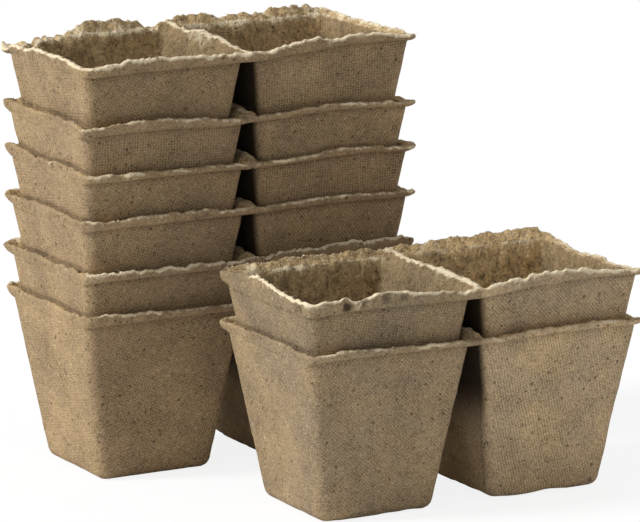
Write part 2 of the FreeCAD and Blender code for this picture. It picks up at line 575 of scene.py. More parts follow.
    def add_foot(self, kind: Loop, foot: RoundedFoot, upward: bool) -> None:
        """Adds the loops of a rounded foot, from its floor up or from its wall down."""
        sizes = self.sizes
        order = range(foot.steps + 1) if upward else range(foot.steps, -1, -1)
        for step in order:
            angle = step / foot.steps * (math.pi / 2 - sizes.draft)
            height = foot.low + foot.radius * (1 - math.cos(angle))
            half_width = foot.flat_half(sizes) + foot.radius * math.sin(angle)
            corner = foot.corner - (sizes.half_width(height) - foot.inset - half_width)
            self.add(kind, self.contour(half_width, corner), height)

    def add_floor(self, kind: Loop, foot: RoundedFoot, shares: tuple[float, ...]) -> None:
        """Adds loops on the flat of a floor, as shares of its half width."""
        flat = foot.flat_half(self.sizes)
        corner = max(foot.corner - foot.radius, self.sizes.least_corner)
        for share in shares:
            self.add(kind, self.contour(flat * share, corner * share), foot.low)

    def build_inside(self) -> None:
        """The hollow: its floor, rounded foot and wall, up to the inner edge."""
        sizes = self.sizes
        foot = RoundedFoot(sizes.floor_thickness, self.inset, self.inner_corner, sizes.inner_foot_radius)
        self.add_floor(Loop.INNER_FLOOR, foot, (0.12, 0.4, 0.65, 0.85))
        self.add_foot(Loop.INNER_FLOOR, foot, True)
        steps = 26 if self.is_open else 6
        bottom = foot.low + foot.radius * 1.3
        top = sizes.height - 2.2 * sizes.inner_edge_drop
        for step in range(steps):
            share = (step + 0.6) / steps
            height = bottom + (top - bottom) * (share if self.is_open else share**0.5)
            half_width = sizes.half_width(height) - self.inset
            self.add(Loop.INNER_WALL, self.contour(half_width, self.inner_corner), height)

    def build_lip(self) -> None:
        """The lip: its inner edge, the slope up to the torn crest, its tip and its band."""
        sizes = self.sizes
        reach = self.lip_reach()
        outline = self.lip_outline(reach - sizes.crest_inset)
        spots = self.in_strip(outline)
        crest = sizes.height + self.crest_rise(spots)
        self.add_slope(outline, crest, spots)
        self.add(Loop.CREST, outline, crest)
        foot = self.parting_height(crest, spots)
        self.add_band(reach, crest, foot, spots)
        wall_top = foot - sizes.underside_lean
        divider_top = sizes.height - sizes.slit_arch
        self.wall_top = wall_top + (divider_top - wall_top) * self.divider_weight
        half_width = sizes.half_width(self.wall_top) - sizes.wall_top_inset
        self.add(Loop.WALL, self.contour(half_width, sizes.corner_radius), self.wall_top)

    def add_slope(self, outline: np.ndarray, crest: np.ndarray, spots: np.ndarray) -> None:
        """Adds the inner edge and the loops that climb from it towards the crest."""
        sizes = self.sizes
        more_drop = sizes.divider_edge_drop - sizes.inner_edge_drop
        drop = sizes.inner_edge_drop + more_drop * self.divider_weight
        back_lift = self.side_blend(0.0, 0.5, 1.2) * (1.0 - self.divider_weight)
        uneven = self.bumps(spots, Bumps(0.25, 4.0, shift=9.0))
        edge = sizes.height - drop + uneven + back_lift * self.is_open
        edge = np.minimum(edge, crest - sizes.least_slope)
        half_width = sizes.half_width(edge) - self.inset + sizes.edge_rounding
        inner_edge = self.contour(half_width, self.inner_corner)
        self.add(Loop.INNER_EDGE, inner_edge, edge)
        for kind, over, free_climb, divider_climb in SLOPE_STEPS:
            climb = free_climb + (divider_climb - free_climb) * self.divider_weight
            self.add(kind, inner_edge + (outline - inner_edge) * over, edge + (crest - edge) * climb)

    def parting_height(self, crest: np.ndarray, spots: np.ndarray) -> np.ndarray:
        """How high the mould line under the lip runs, and the underside of the web."""
        sizes = self.sizes
        end_lift = self.pick(0.3, 1.8 + 0.6 * self.is_open)
        lift = self.side_blend(along_profile(self.plan.story.parting, spots[:, 0]), end_lift, 0.3)
        lift = lift + sizes.ear_lift * self.near_corner(True)
        uneven = self.bumps(spots, Bumps(0.1, 5.0, shift=90.0))
        free = sizes.height - sizes.parting_drop + lift + uneven
        free = np.minimum(free, crest - sizes.least_lip)
        under_web = sizes.height - sizes.web_thickness
        past_web = smooth_step(25.5, 28.0, np.abs(spots[:, 1]))
        return np.where(self.in_plane, under_web + (free - under_web) * past_web, free)

    def add_band(self, reach: np.ndarray, crest: np.ndarray, foot: np.ndarray, spots: np.ndarray) -> None:
        """Adds the lip's tip and face, the band under them and the mould line.

        Args:
            reach: how far the lip leans out at each place.
            crest: the height of the torn crest.
            foot: the height of the mould line.
            spots: where each place lies on the strip, for its noise.
        """
        sizes = self.sizes
        thickness = sizes.lip_tip * (1.0 + self.bumps(spots, Bumps(0.3, 3.0, shift=20.0)))
        tip = np.clip(thickness, sizes.least_tip, sizes.most_tip)
        tip_low = np.maximum(crest - tip, foot + sizes.least_band)
        fray = self.bumps(spots, Bumps(0.12, 0.9, shift=33.0))
        for inset, down in ((0.4, 0.16), (0.05, 0.5)):
            self.add(Loop.TIP, self.lip_outline(reach - inset), crest - (down + fray) * tip)
        self.add(Loop.LIP_FACE, self.lip_outline(reach - sizes.face_inset), tip_low)
        bulge = self.side_blend(1.0, self.pick(0.0, 0.6), 0.9)
        bulge = np.maximum(bulge, np.minimum(1.6 * self.near_corner(True), 1.0))
        foot_reach = self.parting_reach()
        run = foot_reach - reach + sizes.face_inset
        for down, way_in in BAND_STEPS:
            lean = reach - sizes.face_inset + run * (down + (way_in - down) * bulge)
            self.add(Loop.BAND, self.lip_outline(lean), tip_low + (foot - tip_low) * down)
        self.add(Loop.PARTING, self.lip_outline(foot_reach), foot)

    def seat_line(self) -> np.ndarray:
        """Where the crest of the strip below stands against this strip's wall."""
        below = self.strip.below
        spots = self.in_strip(self.lip_outline(np.zeros_like(self.share)))
        end = along_profile(self.pick(below.left, below.right), spots[:, 1])
        rise = self.side_blend(along_profile(below.front, spots[:, 0]), end, 0.8)
        return self.sizes.height - self.strip.seat_rise + rise

    def wall_heights(self) -> list[np.ndarray]:
        """The heights of the outer wall's loops, closer together where the strip is seated."""
        low = self.sizes.foot_radius * (1 - math.sin(self.sizes.draft))
        under = self.wall_top - 0.9
        if not self.strip.seat_rise:
            return [under + (low - under) * (step / 25) for step in range(25)]
        line = self.seat_line()
        heights = [under + (line + 1.5 - under) * (step / 8) for step in range(9)]
        heights += [line + above for above in (0.95, 0.55, 0.2, -0.2, -0.8)]
        return heights + [line - 0.8 + (low - line + 0.8) * (step / 12) for step in range(1, 12)]

    def build_outside(self) -> None:
        """The outer wall down to the rounded foot and the underside."""
        sizes = self.sizes
        for height in self.wall_heights():
            self.add(Loop.WALL, self.contour(sizes.half_width(height), sizes.corner_radius), height)
        foot = RoundedFoot(0.0, 0.0, sizes.corner_radius, sizes.foot_radius)
        self.add_foot(Loop.FOOT, foot, False)
        self.add_floor(Loop.UNDERSIDE, foot, (0.85, 0.5, 0.15))

    def outward_push(self, kind: Loop, points: np.ndarray) -> np.ndarray:
        """How far each point of a loop of one kind moves out, in millimetres."""
        push = self.bumps(points, *LOOKS[kind].bumps)
        if kind is Loop.INNER_WALL:
            return push * smooth_step(3.0, 8.0, points[:, 2]) * self.is_open
        if kind in INNER_RIM:
            return push * (1.0 - 0.4 * self.divider_weight)
        if kind in LIP:
            return push * ~self.in_plane
        if kind in OUTER_WALL:
            shown = smooth_step(38.0, 43.0, points[:, 2]) if self.strip.seat_rise else 1.0
            return push + shown * self.bumps(points, *BROAD_WALL_BUMPS)
        return push

    def upward_push(self, kind: Loop, points: np.ndarray) -> np.ndarray:
        """How far each point of a loop of one kind moves up, in millimetres."""
        if kind in INNER_RIM:
            creases = 0.22 + 0.5 * self.divider_weight
            return creases * self.bumps(points, Bumps(1.0, 1.8, 2, shift=60.0))
        if kind is Loop.INNER_FLOOR and self.is_open:
            return self.bumps(points, Bumps(0.2, 4.0))
        if kind in (Loop.FOOT, Loop.UNDERSIDE):
            return 0.5 * np.maximum(self.bumps(points, Bumps(1.0, 9.0, 2)), 0.0)
        return np.zeros(len(points))

    def mark_push(self, points: np.ndarray) -> np.ndarray:
        """What the marks do at each point.

        Args:
            points: places on the strip, in millimetres.

        Returns:
            Four rows over the points: the moves out and up, the painted shade in dents, and how far
            the pulp stays untorn, which is below nothing where it is torn more.
        """
        out, up, dark, calm = np.zeros((4, len(points)))
        for mark in self.plan.marks:
            spot = np.array([mark.x, mark.y, self.sizes.height + mark.z])
            near = np.exp(-(np.linalg.norm(points - spot, axis=1) / mark.spread) ** 2)
            core = smooth_step(0.3, 0.75, near)
            out += mark.outward * near
            up += mark.upward * near
            dark = np.maximum(dark, mark.dark * core)
            calm += mark.calm * core
        return np.array([out, up, dark, calm])

    def finish_loops(self) -> tuple[np.ndarray, dict[str, np.ndarray]]:
        """Builds all loops and roughens them.

        Returns:
            Points by loop and place, in the strip's own frame, and the surface values there.
        """
        self.build_inside()
        self.build_lip()
        self.build_outside()
        # Painted light: a factor that brightens or darkens whole pots and a strip's ends.
        painted_light_gain = self.pick(*self.plan.painted_light_gains) * self.side_blend(1.0, self.plan.end_painted_light_gain, 1.0)
        table: dict[str, list[np.ndarray]] = {}
        shaped = []
        for kind, loop in zip(self.kinds, self.loops):
            points = self.in_strip(loop, loop[:, 2])
            mark_out, mark_up, dark, calm = self.mark_push(points)
            free = ~self.in_plane | (kind not in LIP)
            out = self.outward_push(kind, points) + mark_out * free
            up = self.upward_push(kind, points) + mark_up
            points[:, 0] += self.half.value * self.outward[:, 0] * out
            points[:, 1] += self.outward[:, 1] * out
            points[:, 2] += up
            shaped.append(points)
            values = {
                "torn": self.torn_share(kind) * (1.0 - 0.9 * calm),
                "inside": self.inside_share(kind),
                # Painted shade: in the marks' dents, the hollow, the slit, under the lip and at the seat.
                "painted_shade": np.maximum(dark, self.painted_shade_share(kind, loop)),
                "painted_light_gain": painted_light_gain,
                "mesh": self.mesh_places(kind, loop),
                "crest": np.full(len(points), float(kind is Loop.CREST)),
            }
            for name, row in values.items():
                table.setdefault(name, []).append(row)
        return np.array(shaped), {name: np.array(rows) for name, rows in table.items()}

    def torn_share(self, kind: Loop) -> np.ndarray:
        """How far the pulp of one loop is torn open to its pale fibre, side by side."""
        look = LOOKS[kind]
        story = self.plan.story
        ridge = look.torn * (1.15 if kind in (Loop.CREST, Loop.BROW) else 0.5)
        if self.is_open:
            value = self.side_blend(look.torn, look.torn, look.open_back_torn * story.back_torn)
            return value + (ridge - value) * self.divider_weight
        value = look.torn * self.side_blend(story.nested_torn, self.pick(0.3, 0.6), 0.75)
        return value + (0.6 * ridge - value) * self.divider_weight

    def inside_share(self, kind: Loop) -> np.ndarray:
        """How rough and olive the pulp is that never touched the forming mesh."""
        if kind is Loop.INNER_FLOOR:
            return np.full_like(self.share, 0.8)
        if kind in HOLLOW + INNER_RIM:
            # The back and front walls of the hollow take more of the brighter inner colour than its end and
            # divider walls, which is painted light.
            return 0.62 + 0.38 * self.outward[:, 1] ** 2
        return np.zeros_like(self.share)

    def painted_shade_share(self, kind: Loop, loop: np.ndarray) -> np.ndarray:
        """How far painted shade darkens each place: hollow, divider slope, slit, under the lip and seat."""
        # Painted shade over the hollow's floor, on its end and divider walls and on the divider's slope.
        if kind is Loop.INNER_FLOOR:
            return np.full_like(self.share, PAINTED_SHADE.floor)
        if kind in HOLLOW:
            return PAINTED_SHADE.inner_wall * self.outward[:, 0] ** 2
        if kind is Loop.SLOPE:
            return PAINTED_SHADE.divider_slope * self.divider_weight * self.is_open
        if kind not in OUTER_WALL:
            return np.zeros_like(self.share)
        height = loop[:, 2]
        # Painted shade deep in the slit, and a painted shadow under the overhanging lip.
        slit = PAINTED_SHADE.slit * (1.0 - smooth_step(0.05, 0.6, self.from_plane))
        slit = slit * smooth_step(20.0, 38.0, height)
        under = self.pick(PAINTED_SHADE.under_left_lip, PAINTED_SHADE.under_right_lip)
        under = self.side_blend(PAINTED_SHADE.under_lip, under, PAINTED_SHADE.under_back_lip)
        under = np.exp(-(((self.wall_top - height) / PAINTED_SHADE.under_lip_band) ** 2)) * under
        slit = np.maximum(slit, under)
        if not self.strip.seat_rise:
            return slit
        # A painted contact shadow along the seat line, and a broader painted shade on both sides of it.
        above = height - self.seat_line()
        from_line = above - PAINTED_SHADE.seat_line
        band = np.where(above > PAINTED_SHADE.seat_line, PAINTED_SHADE.seat_above, PAINTED_SHADE.seat_below)
        uneven = 0.75 + self.bumps(self.in_strip(loop), Bumps(0.5, 2.2))
        seat_line_shade = uneven * np.exp(-((from_line / band) ** 2))
        end = self.pick(PAINTED_SHADE.left_seat, PAINTED_SHADE.right_seat)
        seat_line_shade = seat_line_shade * self.side_blend(PAINTED_SHADE.seat, end, PAINTED_SHADE.seat)
        broad_seat_shade = np.exp(-((above / PAINTED_SHADE.seat_shade_band) ** 2))
        broad_seat_shade = broad_seat_shade * self.side_blend(PAINTED_SHADE.front_seat_shade, 0.0, PAINTED_SHADE.back_seat_shade)
        return np.maximum(slit, np.maximum(seat_line_shade, broad_seat_shade))

    def mesh_places(self, kind: Loop, loop: np.ndarray) -> np.ndarray:
        """Places on the forming mesh that a loop was pressed against, and how strongly."""
        radius = self.sizes.corner_radius
        bend = radius * math.pi / 2
        ahead = np.column_stack([-self.outward[:, 1], self.outward[:, 0]])
        straight = self.sizes.half_width(loop[:, 2]) - radius
        along = np.where(self.on_corner, 0.0, np.sum(loop[:, :2] * ahead, axis=1))
        before = self.on_corner & (self.share < 0.5)
        after = self.on_corner & (self.share >= 0.5)
        along = np.where(before, straight + bend * self.share, along)
        along = np.where(after, -straight - bend * (1.0 - self.share), along)
        up = loop[:, 2] / math.cos(self.sizes.draft)
        strength = LOOKS[kind].mesh * self.side_blend(1.0, self.pick(0.3, 0.6), 0.8)
        middle = 1.0 - np.abs(self.share - 0.5) * 2.0
        strength = np.where(self.on_corner, strength * (1.0 - smooth_step(0.3, 0.95, middle)), strength)
        turn_per_side = 0.9
        side_angle = self.pick(*self.plan.mesh_angles) + turn_per_side * self.side
        side_angle = np.where(before, side_angle - turn_per_side, side_angle)
        cosine, sine = np.cos(side_angle), np.sin(side_angle)
        return np.column_stack([along * cosine + up * sine, up * cosine - along * sine, strength])


@dataclass
class MeshParts:
    """Points, faces and surface values that are gathered into one mesh, in millimetres."""

    points: list[np.ndarray] = field(default_factory=list)
    faces: list[tuple[int, ...]] = field(default_factory=list)
    values: dict[str, list[np.ndarray]] = field(default_factory=dict)
    slots: list[int] = field(default_factory=list)
    count: int = 0

    def add_points(self, points: np.ndarray, **values: np.ndarray) -> int:
        """Adds points with their values, and gives the first one's number."""
        first = self.count
        self.points.append(points)
        for name, rows in values.items():
            self.values.setdefault(name, []).append(rows)
        self.count += len(points)
        return first

    def add_face(self, corners: tuple[int, ...], slot: int = 0) -> None:
        """Adds one face that takes one of the piece's two finishes."""
        self.faces.append(corners)
        self.slots.append(slot)


@dataclass(frozen=True)
class LooseBits:
    """The loose fibres and crumbs on a torn crest: how many, and their sizes in millimetres.

    A pair holds the least and the most of what is drawn by chance. The rings of a crumb hold
    how high each lies and how wide it is, as shares of the crumb's size.
    """

    fibres: int
    crumbs: int
    fibre_length: tuple[float, float] = (0.9, 2.6)
    fibre_thickness: tuple[float, float] = (0.05, 0.1)
    fibre_climb: tuple[float, float] = (0.0, 0.5)
    fibre_curl: tuple[float, float] = (-1.6, 1.6)
    fibre_sunk: float = 0.12
    fibre_taper: float = 0.75
    fibre_rings: int = 6
    fibre_sides: int = 4
    crumb_size: tuple[float, float] = (0.14, 0.38)
    crumb_stretch: tuple[float, float] = (0.7, 1.5)
    crumb_wobble: tuple[float, float] = (0.8, 1.2)
    crumb_sunk: float = 0.25
    crumb_sides: int = 7
    crumb_rings: Profile = ((-0.95, 0.35), (-0.5, 0.85), (0.1, 1.0), (0.6, 0.7), (0.9, 0.3))
    back_from: float = 26.0
    back_weight: float = 2.5


OPEN_BITS = LooseBits(fibres=70, crumbs=60)
NESTED_BITS = LooseBits(fibres=26, crumbs=16)
OPEN_PLACES = RoundOfPlaces(side_steps=96, corner_steps=14)
NESTED_PLACES = RoundOfPlaces(side_steps=76, corner_steps=12)


@dataclass
class PotStrip:
    """One moulding of two pots: its node, its place in a stack and what sets it apart."""

    node: str
    plan: StripPlan
    centre: Vector
    turn: float
    level: float
    wall: float
    is_open: bool
    seat_rise: float
    below: RimStory | None
    seed: int
    sizes: PotSizes = PotSizes()

    @property
    def bits(self) -> LooseBits:
        """The loose bits that an open or a nested strip carries."""
        return OPEN_BITS if self.is_open else NESTED_BITS

    def build_pots(self, parts: MeshParts) -> None:
        """Adds both pots, joined where their lips and the web meet in the middle."""
        places = OPEN_PLACES if self.is_open else NESTED_PLACES
        shared: np.ndarray | None = None
        for half in Half:
            pot = PotHalf(self, half, places)
            points, values = pot.finish_loops()
            rows, round_count = points.shape[:2]
            flat = {name: table.reshape(rows * round_count, -1) for name, table in values.items()}
            first = parts.add_points(points.reshape(-1, 3), **flat)
            numbers = first + np.arange(rows * round_count).reshape(rows, round_count)
            lip_rows = np.array([kind in LIP for kind in pot.kinds])
            welded = lip_rows[:, None] & pot.in_plane[None, :]
            if shared is not None:
                numbers = np.where(welded, shared, numbers)
            shared = numbers
            self.add_faces(parts, numbers, welded, half)
            for row, forward in ((0, half is Half.LEFT), (-1, half is Half.RIGHT)):
                own = {name: table[row].reshape(round_count, -1)[:1] for name, table in values.items()}
                middle = parts.add_points(points[row].mean(axis=0)[None, :], **own)
                self.close_end(parts, middle, numbers[row], forward)

    def add_faces(self, parts: MeshParts, numbers: np.ndarray, welded: np.ndarray, half: Half) -> None:
        """Adds the faces between neighbouring loops, but none inside the joining plane."""
        rows, round_count = numbers.shape
        following = np.roll(np.arange(round_count), -1)
        for row in range(rows - 1):
            for place in range(round_count):
                ahead = following[place]
                cells = ((row, place), (row, ahead), (row + 1, ahead), (row + 1, place))
                if all(welded[cell] for cell in cells):
                    continue
                corners = tuple(int(numbers[cell]) for cell in cells)
                parts.add_face(corners if half is Half.LEFT else corners[::-1])

    def close_end(self, parts: MeshParts, middle: int, numbers: np.ndarray, forward: bool) -> None:
        """Closes the innermost loop of a floor with a fan of triangles round its middle."""
        for here, ahead in zip(numbers, np.roll(numbers, -1)):
            corners = (middle, int(ahead), int(here)) if forward else (middle, int(here), int(ahead))
            parts.add_face(corners)

    def crest_places(self, draws: np.random.Generator, crest: np.ndarray, count: int) -> np.ndarray:
        """Random places on the torn crest, more of them on the side that stands up."""
        weights = np.where(crest[:, 1] > self.bits.back_from, self.bits.back_weight, 1.0)
        return crest[draws.choice(len(crest), size=count, replace=False, p=weights / weights.sum())]

    def add_fibre(self, parts: MeshParts, draws: np.random.Generator, root: np.ndarray) -> None:
        """Adds one loose fibre that curls up from the torn crest."""
        bits = self.bits
        length = draws.uniform(*bits.fibre_length)
        thickness = draws.uniform(*bits.fibre_thickness)
        heading = draws.uniform(0.0, 2.0 * math.pi)
        climb = draws.uniform(*bits.fibre_climb)
        curl = draws.uniform(*bits.fibre_curl)
        steps = bits.fibre_rings
        angles = np.arange(bits.fibre_sides) * 2.0 * math.pi / bits.fibre_sides
        rings = []
        spot = root - np.array([0.0, 0.0, bits.fibre_sunk])
        for step in range(steps):
            share = step / (steps - 1)
            turn = heading + curl * share
            way = np.array([math.cos(turn), math.sin(turn), climb * (1.0 - share)])
            way /= np.linalg.norm(way)
            across = np.array([-way[1], way[0], 0.0]) / math.hypot(way[0], way[1])
            upright = np.cross(way, across)
            girth = thickness * (1.0 - bits.fibre_taper * share)
            ring = np.outer(np.cos(angles), across) + np.outer(np.sin(angles), upright)
            rings.append(spot + girth * ring)
            spot = spot + way * length / (steps - 1)
        rings = np.array(rings)
        if np.allclose(self.keep_in_room(rings.reshape(-1, 3)), rings.reshape(-1, 3)):
            self.add_shell(parts, rings)

    def add_shell(self, parts: MeshParts, rings: np.ndarray) -> None:
        """Adds a small closed shell from rings of points, in the torn finish."""
        steps, sides = rings.shape[:2]
        total = steps * sides
        full = np.ones((total, 1))
        none = np.zeros((total, 1))
        off_mesh = np.zeros((total, 3))
        values = {"torn": full, "inside": none, "painted_shade": none, "painted_light_gain": full, "mesh": off_mesh, "crest": full}
        first = parts.add_points(rings.reshape(-1, 3), **values)
        for step in range(steps - 1):
            for side in range(sides):
                here = first + step * sides + side
                ahead = first + step * sides + (side + 1) % sides
                parts.add_face((here, ahead, ahead + sides, here + sides), 1)
        last = first + total - sides
        parts.add_face(tuple(first + side for side in reversed(range(sides))), 1)
        parts.add_face(tuple(last + side for side in range(sides)), 1)

    def add_crumb(self, parts: MeshParts, draws: np.random.Generator, root: np.ndarray) -> None:
        """Adds one torn crumb of pulp that sits on the crest."""
        bits = self.bits
        sides = bits.crumb_sides
        size = draws.uniform(*bits.crumb_size)
        stretch = draws.uniform(*bits.crumb_stretch, size=3)
        angles = np.arange(sides) * 2.0 * math.pi / sides
        rings = []
        for lift, girth in bits.crumb_rings:
            ring = np.column_stack([girth * np.cos(angles), girth * np.sin(angles), np.full(sides, lift)])
            rings.append(ring * draws.uniform(*bits.crumb_wobble, size=(sides, 1)) * stretch)
        shell = np.array(rings) * size + root - np.array([0.0, 0.0, bits.crumb_sunk * size])
        self.add_shell(parts, shell)

    def build(self) -> bpy.types.Object:
        """Builds the strip's mesh where its node stands.

        Returns:
            The strip as one closed object with its surface values as attributes.
        """
        parts = MeshParts()
        self.build_pots(parts)
        on_crest = np.concatenate(parts.values["crest"])[:, 0] > 0.5
        crest = np.concatenate(parts.points)[on_crest]
        draws = np.random.default_rng(self.seed)
        for root in self.crest_places(draws, crest, self.bits.fibres):
            self.add_fibre(parts, draws, root)
        for root in self.crest_places(draws, crest, self.bits.crumbs):
            self.add_crumb(parts, draws, root)
        return self.make_object(parts)

    def keep_in_room(self, points: np.ndarray) -> np.ndarray:
        """Points held inside the strip's largest length, depth and height."""
        sizes = self.sizes
        half_x = (sizes.pitch + sizes.top_width) / 2 + sizes.end_room
        half_y = sizes.top_width / 2 + sizes.side_room
        top = sizes.height + sizes.top_room
        return np.clip(points, (-half_x, -half_y, 0.0), (half_x, half_y, top))

    def make_object(self, parts: MeshParts) -> bpy.types.Object:
        """Turns the gathered parts into an object in the frame's place."""
        points = np.concatenate(parts.points)
        used = np.zeros(len(points), bool)
        for corners in parts.faces:
            used[list(corners)] = True
        numbers = np.cumsum(used) - 1
        faces = [tuple(int(numbers[corner]) for corner in corners) for corners in parts.faces]
        points = self.keep_in_room(points)
        turned = Matrix.Rotation(self.turn, 3, "Z")
        place = np.array(self.centre) + np.array([0.0, 0.0, self.level])
        points = points[used] * MM @ np.array(turned).T + place
        mesh = bpy.data.meshes.new(self.node + "_pulp")
        mesh.from_pydata(points.tolist(), [], faces)
        mesh.polygons.foreach_set("use_smooth", [True] * len(faces))
        mesh.polygons.foreach_set("material_index", parts.slots)
        values = {name: np.concatenate(rows)[used] for name, rows in parts.values.items()}
        values["tone"] = np.full((len(points), 1), self.plan.tone)
        for name in ("torn", "inside", "painted_shade", "painted_light_gain", "tone"):
            layer = mesh.attributes.new(name, "FLOAT", "POINT")
            layer.data.foreach_set("value", values[name][:, 0].astype(np.float32))
        layer = mesh.attributes.new("forming_mesh", "FLOAT_VECTOR", "POINT")
        layer.data.foreach_set("vector", values["mesh"].astype(np.float32).ravel())
        mesh.update()
        piece = bpy.data.objects.new(self.node + "_moulding", mesh)
        bpy.context.scene.collection.objects.link(piece)
        return piece

    def dress(self, piece: bpy.types.Object, finishes: list[bpy.types.Material]) -> None:
        """Gives the strip its finishes and ties it to its body and node."""
        for finish in finishes:
            piece.data.materials.append(finish)
        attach(piece, self.node)
        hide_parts(self.node)


@dataclass
class PotStack:
    """A stack of nested strips that stands on the table."""

    name: str
    plans: tuple[StripPlan, ...]
    first_seed: int
    sizes: PotSizes = PotSizes()

    def foot_places(self) -> tuple[Vector, float]:
        """The middle of the stack's two feet and the turn of the line through them."""
        mounts = {mount["name"]: Vector(mount["pos_m"]) for mount in frame["record"]["mounts"]}
        left = mounts[self.name + "_left_foot"]
        right = mounts[self.name + "_right_foot"]
        line = right - left
        return (left + right) / 2, math.atan2(line.y, line.x)

    def strips(self) -> list[PotStrip]:
        """The stack's strips from the bottom up, at the heights that the frame gives."""
        centre, turn = self.foot_places()
        nodes = [f"{self.name}_strip_{number + 1}" for number in range(len(self.plans))]
        levels = [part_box(node)[0].z for node in nodes]
        made = []
        for index, (node, plan, level) in enumerate(zip(nodes, self.plans, levels)):
            is_open = node == nodes[-1]
            wall = self.sizes.open_wall
            if not is_open:
                wall = self.sizes.wall_under((levels[index + 1] - level) / MM)
            seat_rise = (level - levels[index - 1]) / MM if index else 0.0
            below = self.plans[index - 1].story if index else None
            seed = self.first_seed + index
            made.append(
                PotStrip(node, plan, centre, turn, level, wall, is_open, seat_rise, below, seed, self.sizes)
            )
        return made


class NodeSheet:
    """Adds shader nodes to one tree in short calls."""

    def __init__(self, tree: bpy.types.NodeTree) -> None:
        """Keeps the tree that the nodes go into."""
        self.tree = tree

    def node(self, kind: str, **settings: object) -> bpy.types.Node:
        """A new node of a kind, with its plain settings."""
        made = self.tree.nodes.new(kind)
        for name, value in settings.items():
            setattr(made, name, value)
        return made

    def feed(self, target: Socket, value: object) -> None:
        """Links a socket into a target, or sets the target's own value."""
        if isinstance(value, Socket):
            self.tree.links.new(value, target)
        else:
            target.default_value = value

    def math(self, operation: str, first: object, second: object = 0.0, third: object = 0.0) -> Socket:
        """A sum, product or other scalar step."""
        made = self.node("ShaderNodeMath", operation=operation)
        for target, value in zip(made.inputs, (first, second, third)):
            self.feed(target, value)
        return made.outputs[0]

    def times(self, first: object, second: object) -> Socket:
        """One value multiplied by another."""
        return self.math("MULTIPLY", first, second)

    def plus(self, base: object, value: object, factor: object) -> Socket:
        """A base with a factor of a value added to it."""
        return self.math("MULTIPLY_ADD", value, factor, base)

    def span(self, value: Socket, low: float, high: float, start: float = 0.0, end: float = 1.0) -> Socket:
        """A value mapped smoothly from one range to another."""
        made = self.node("ShaderNodeMapRange", interpolation_type="SMOOTHSTEP")
        for target, item in zip(made.inputs, (value, low, high, start, end)):
            self.feed(target, item)
        return made.outputs[0]

    def noise(self, place: Socket, scale: object, detail: float = 2.0, distortion: float = 0.0) -> Socket:
        """Noise around a half at a scale per metre."""
        made = self.node("ShaderNodeTexNoise")
        settings = {"Vector": place, "Scale": scale, "Detail": detail, "Distortion": distortion}
        for name, value in settings.items():
            self.feed(made.inputs[name], value)
        return made.outputs[0]

    def swing(self, place: Socket, scale: object, detail: float = 2.0, distortion: float = 0.0) -> Socket:
        """Noise around nothing at a scale per metre."""
        return self.math("SUBTRACT", self.noise(place, scale, detail, distortion), 0.5)

    def mix(self, share: object, first: object, second: object) -> Socket:
        """Two colours mixed by a share."""
        made = self.node("ShaderNodeMix", data_type="RGBA")
        self.feed(made.inputs[0], share)
        self.feed(made.inputs[6], first)
        self.feed(made.inputs[7], second)
        return made.outputs[2]

    def tint(self, colour: object, other: object, mask: Socket, strength: float) -> Socket:
        """A colour mixed towards another one as far as a mask and a strength allow."""
        return self.mix(self.times(mask, strength), colour, other)

    def value_of(self, name: str, output: str = "Fac") -> Socket:
        """A surface value that the mesh carries."""
        return self.node("ShaderNodeAttribute", attribute_name=name).outputs[output]

    def place(self) -> Socket:
        """The piece's own coordinates in metres."""
        return self.node("ShaderNodeTexCoord").outputs["Object"]

    def use(self, group: bpy.types.NodeTree, **inputs: object) -> bpy.types.Node:
        """Places a node group and feeds its named inputs."""
        made = self.node("ShaderNodeGroup")
        made.node_tree = group
        for name, value in inputs.items():
            self.feed(made.inputs[name.capitalize()], value)
        return made


@dataclass
class NodeGroup:
    """A node group with named sockets: its sheet, its inputs and its output node."""

    sheet: NodeSheet
    given: bpy.types.NodeOutputs
    made: bpy.types.Node

    @classmethod
    def named(cls, name: str, inputs: dict[str, str], outputs: tuple[str, ...]) -> "NodeGroup":
        """An empty group.

        Args:
            name: the group's name.
            inputs: socket kinds by input name.
            outputs: the names of the outputs, which all carry one number.

        Returns:
            The group, ready for its nodes.
        """
        tree = bpy.data.node_groups.new(name, "ShaderNodeTree")
        for label, kind in inputs.items():
            tree.interface.new_socket(name=label, in_out="INPUT", socket_type=kind)
        for label in outputs:
            tree.interface.new_socket(name=label, in_out="OUTPUT", socket_type=NUMBER)
        sheet = NodeSheet(tree)
        return cls(sheet, sheet.node("NodeGroupInput").outputs, sheet.node("NodeGroupOutput"))

    def finish(self, **results: Socket) -> bpy.types.NodeTree:
        """Feeds the outputs by name and gives the group's tree."""
        for name, value in results.items():
            self.sheet.feed(self.made.inputs[name.capitalize()], value)
        return self.sheet.tree


def blotch_group() -> bpy.types.NodeTree:
    """Slow changes of shade over the pulp, large and small."""
    group = NodeGroup.named("pulp_blotches", {"Place": PLACE, "Strength": NUMBER}, ("Shade", "Warmth"))
    sheet = group.sheet
    place = group.given["Place"]
    total = sheet.times(sheet.swing(place, 75.0, 3.0), 0.9)
    total = sheet.plus(total, sheet.swing(place, 420.0, 3.0, 0.4), 0.7)
    total = sheet.plus(total, sheet.swing(place, 1700.0), 2.2)
    shade = sheet.plus(1.0, total, group.given["Strength"])
    warmth = sheet.span(sheet.noise(place, 48.0, 2.0, 0.6), 0.38, 0.62)
    return group.finish(shade=shade, warmth=warmth)


